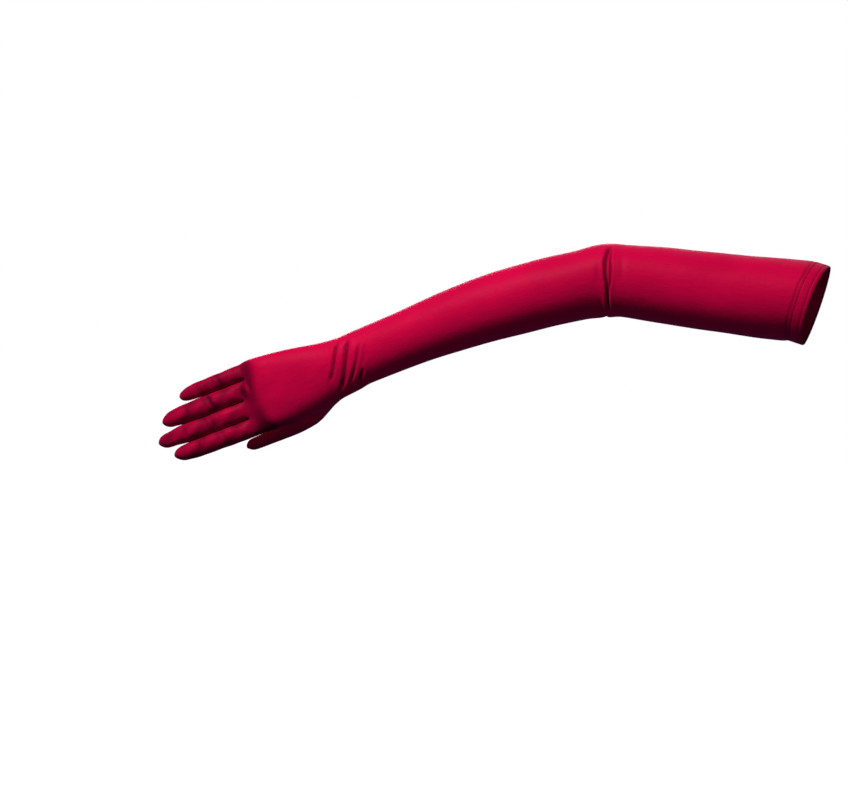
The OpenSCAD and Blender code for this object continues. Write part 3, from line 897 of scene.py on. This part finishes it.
def seam_ridge(name, ids):
    """Two cloth edges sewn together, standing along a line of surface points."""
    line, out = points[ids], normals[ids]
    ahead = np.gradient(line, axis=0)
    across_way = np.cross(out, ahead)
    across_way /= np.linalg.norm(across_way, axis=1, keepdims=True)
    turns = np.radians((0, 36, 72, 108, 144, 180))
    n = len(turns)
    ring = []
    for k, turn in enumerate(turns):
        rise_by = SEAM_HEIGHT * math.sin(turn) - SEAM_SINK * (k in (0, n - 1))
        ring.append(line + across_way * (SEAM_HALF_WIDTH * math.cos(turn) * MM) + out * (rise_by * MM))
    co = np.stack(ring, 1).reshape(-1, 3)
    quads = [
        (i * n + k, i * n + (k + 1) % n, (i + 1) * n + (k + 1) % n, (i + 1) * n + k)
        for i in range(len(ids) - 1) for k in range(n)
    ]
    last = (len(ids) - 1) * n
    ends = [tuple(range(n))[::-1], tuple(last + k for k in range(n))]
    mesh = bpy.data.meshes.new(name)
    mesh.from_pydata(co, [], quads + ends)
    mesh.polygons.foreach_set("use_smooth", [True] * len(quads) + [False] * 2)
    step = np.concatenate(([0], np.cumsum(np.linalg.norm(np.diff(line, axis=0), axis=1)))) / MM
    uv = mesh.uv_layers.new(name=WEAVE_MAP)
    for loop in mesh.loops:
        row, k = divmod(loop.vertex_index, n)
        uv.data[loop.index].uv = (k * 0.5, step[row])
    return link(name, mesh, satin_seam)


seams = {
    part: seam_ridge("side_seam_" + part, boundary_line(part + "_back", part + "_front", side, place))
    for part, side, place in (("sleeve", UP, forearm), ("wrist", UP, forearm), ("hand", hand.y, hand))
}

STITCH, STITCH_GAP, STITCH_R = 2.3, 0.5, 0.22       # length, gap and half thickness, mm
STITCH_RINGS, STITCH_SIDES = 6, 6
STITCH_STAND = 0.12                                 # how far a stitch's middle stands off the cloth, mm


def stitching(name, x):
    """A row of separate lockstitches round the hem, each thinner where it dives into the cloth."""
    on_hem = np.unique(faces[faces_of("hem")])
    q = hem.back(points[on_hem])
    q[:, 0] -= hem_pull(q)
    near = q[np.abs(q[:, 0] - x) < 0.9]
    turn = np.arctan2(near[:, 2], near[:, 1])
    radius = np.hypot(near[:, 1], near[:, 2])
    order = np.argsort(turn)
    turn, radius = turn[order], radius[order]
    count = int(math.tau * radius.mean() / (STITCH + STITCH_GAP))
    co, quads = [], []
    for s in range(count):
        base = len(co)
        for i in range(STITCH_RINGS):
            u = i / (STITCH_RINGS - 1)
            angle = math.tau * (s + (u - 0.5) * STITCH / (STITCH + STITCH_GAP)) / count - math.pi
            r = np.interp(angle, turn, radius, period=math.tau) + STITCH_STAND * math.sin(math.pi * u)
            thick = STITCH_R * max(0.25, math.sin(math.pi * (0.08 + 0.84 * u))) ** 0.6
            for k in range(STITCH_SIDES):
                a = math.tau * k / STITCH_SIDES
                out = r + thick * math.sin(a)
                co.append((x + thick * 1.25 * math.cos(a), out * math.cos(angle), out * math.sin(angle)))
        for first in range(base, base + (STITCH_RINGS - 1) * STITCH_SIDES, STITCH_SIDES):
            for k in range(STITCH_SIDES):
                a, b = first + k, first + (k + 1) % STITCH_SIDES
                quads.append((a, b, b + STITCH_SIDES, a + STITCH_SIDES))
        quads.append(tuple(range(base, base + STITCH_SIDES))[::-1])
        quads.append(tuple(range(len(co) - STITCH_SIDES, len(co))))
    mesh = bpy.data.meshes.new(name)
    mesh.from_pydata(hem_sway(hem, hem.out(co)), [], quads)
    mesh.polygons.foreach_set("use_smooth", [len(f) == 4 for f in quads])
    return link(name, mesh, thread)


stitches = [stitching("hem_stitches_" + row, x) for row, x in zip(STITCH_ROWS, stitch_x)]

# -------- the bodies that some pieces ride on, and the CAD nodes that the pieces replace
ELBOW_BEND, WRIST_BEND = 56, 21      # how far either side of the joint the places given to bend() lie, mm


def bend(ob, place_a, x_a, place_b, x_b):
    """Works out a place on each of the two stretches and bakes the piece's transform into its mesh; the piece is
    not set to ride on a body or to bend.
    """
    tuple(place_a.out((x_a, 0, 0)))
    tuple(place_b.out((x_b, 0, 0)))
    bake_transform(ob)


def bend_elbow(ob):
    bend(ob, upper, upper_length - ELBOW_BEND, forearm, ELBOW_BEND)


def bend_wrist(ob):
    bend(ob, forearm, forearm_length - WRIST_BEND, hand, WRIST_BEND)


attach(made["hem"], "upper_sleeve")
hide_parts("hem_band")
for row, ob in zip(STITCH_ROWS, stitches):
    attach(ob, "upper_sleeve")
    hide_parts("hem_stitching_" + row)
SIDES = ("back", "front")
for side in SIDES:
    bend_elbow(made["sleeve_" + side])
    bend_wrist(made["wrist_" + side])
    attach(made["hand_" + side], "hand")
    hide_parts("upper_sleeve_" + side, "forearm_sleeve_" + side)
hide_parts("elbow_bend")
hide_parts("wrist_bend")
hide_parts("hand_back")
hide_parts("hand_palm")
bend_elbow(seams["sleeve"])
bend_wrist(seams["wrist"])
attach(seams["hand"], "hand")
for part, stretch in (("sleeve", "upper"), ("wrist", "forearm"), ("hand", "hand")):
    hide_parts(stretch + "_side_seam")
for name in FOURCHETTES:
    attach(made[name], "hand")
    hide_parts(name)
for f in FINGERS:
    place = digits[f]
    middle, tip = joint_x(place, f + "_middle_joint"), joint_x(place, f + "_tip_joint")
    start, reach_middle, reach_tip = BEND[f]
    # Each piece with its two bodies, where its bend begins and ends, and the nodes it stands for.
    parts = (
        ("lower", "hand", f + "_base", start, MEET[f][0] - 0.5, ("_knuckle_bend", "_base_segment")),
        ("middle", f + "_base", f + "_middle", middle - reach_middle, middle + reach_middle,
         ("_middle_bend", "_middle_segment")),
        ("tip", f + "_middle", f + "_tip", tip - reach_tip, tip + reach_tip, ("_tip_bend", "_tip_segment")),
    )
    for part, a, b, x_a, x_b, nodes in parts:
        bend(made[f + "_" + part], place, x_a, place, x_b)
        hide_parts(*(f + node for node in nodes))
bend(made["thumb_lower"], thumb, 9, thumb, THUMB_MEET - 1)
bend(made["thumb_tip"], thumb, thumb_joint - 10, thumb, thumb_joint + 11)
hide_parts("thumb_gusset", "thumb_base_segment")
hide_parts("thumb_joint_bend", "thumb_tip_segment")

# -------- the pieces beside each panel of the sleeve, wrist and hand, listed but not used further
shown = {name: ob.name for name, ob in made.items()}
sleeve_ends = [shown["hem"], shown["wrist_back"], shown["wrist_front"]]
for side, other in (SIDES, SIDES[::-1]):
    beside = {
        "sleeve": [shown["sleeve_" + other], *sleeve_ends],
        "wrist": [shown["wrist_" + other], shown["sleeve_" + side], shown["hand_" + side]],
        "hand": [shown["hand_" + other], shown["wrist_" + side]],
    }
    for part, rests_on in beside.items():
        name = part + "_" + side

# -------- camera, floor and light
CAMERA_AZIMUTH, CAMERA_ROLL, CAMERA_DISTANCE = math.radians(12.5), math.radians(6.88), 2.434
AIM = np.array((-0.319, 0.0, -0.1199))
LENS, SENSOR = 122.0, 36.0
cos, sin = math.cos(CAMERA_ROLL), math.sin(CAMERA_ROLL)
roll = np.array(((cos, 0, -sin), (0, 1, 0), (sin, 0, cos)))
back = roll @ np.array((math.sin(CAMERA_AZIMUTH), -math.cos(CAMERA_AZIMUTH), 0))
up = roll @ UP
camera = in_scene("camera", bpy.data.cameras.new("camera"))
camera.data.lens, camera.data.sensor_width = LENS, SENSOR
stand = np.eye(4)
stand[:3, 0], stand[:3, 1], stand[:3, 2] = np.cross(up, back), up, back
stand[:3, 3] = AIM + back * CAMERA_DISTANCE
camera.matrix_world = Matrix(stand.tolist())
bpy.context.scene.camera = camera
bpy.context.scene.view_settings.view_transform = "Standard"

FLOOR_DROP, FLOOR_HALF = 0.25, 8.0
floor_z = cad_box[0][2] - FLOOR_DROP
floor_corners = [(FLOOR_HALF * x, FLOOR_HALF * y, floor_z) for x, y in ((-1, -1), (1, -1), (1, 1), (-1, 1))]
floor_mesh = bpy.data.meshes.new("floor")
floor_mesh.from_pydata(floor_corners, [], [(0, 1, 2, 3)])
floor = in_scene("floor", floor_mesh)
pale, _, pale_shader = new_material("pale_floor")
set_inputs(pale_shader, Base_Color=(0.92, 0.92, 0.92, 1), Roughness=0.8)
set_inputs(pale_shader, Emission_Color=(1, 1, 1, 1), Emission_Strength=1.0)
floor_mesh.materials.append(pale)
floor.visible_diffuse = floor.visible_glossy = False

MIDDLE = np.array((-0.30, 0.0, -0.07))      # about the middle of the glove


def area_light(name, way, distance, size, power, colour=(1, 1, 1)):
    """A soft square light that looks at the middle of the glove from one direction."""
    data = bpy.data.lights.new(name, "AREA")
    data.energy, data.size, data.color = power, size, colour
    ob = in_scene(name, data)
    ob.location = MIDDLE + unit(way) * distance
    ob.rotation_euler = Vector(-unit(way)).to_track_quat("-Z", "Y").to_euler()


area_light("key", (-0.42, -0.58, 0.73), 2.2, 0.6, 55)
area_light("fill", (0.2, -1.0, -0.45), 2.4, 2.0, 8.0, (0.5, 0.4, 1.0))
area_light("rear", (0.1, 0.75, 0.75), 2.4, 1.6, 7)
area_light("behind", (-0.35, 1.0, 0.2), 2.4, 1.4, 34)

# The camera sees a white world, and the glove is lit by a weak violet one.
world = bpy.data.worlds.new("white")
bpy.context.scene.world = world
world.use_nodes = True
sky = world.node_tree
seen = add(sky, "ShaderNodeLightPath")
violet, white = sky.nodes["Background"], add(sky, "ShaderNodeBackground")
set_inputs(violet, Color=(0.45, 0.4, 1.0, 1), Strength=0.12)
set_inputs(white, Color=(1, 1, 1, 1), Strength=1.0)
chosen = add(
    sky, "ShaderNodeMixShader",
    n0=(seen, "Is Camera Ray"), n1=(violet, "Background"), n2=(white, "Background"),
)
sky.links.new(chosen.outputs["Shader"], sky.nodes["World Output"].inputs["Surface"])
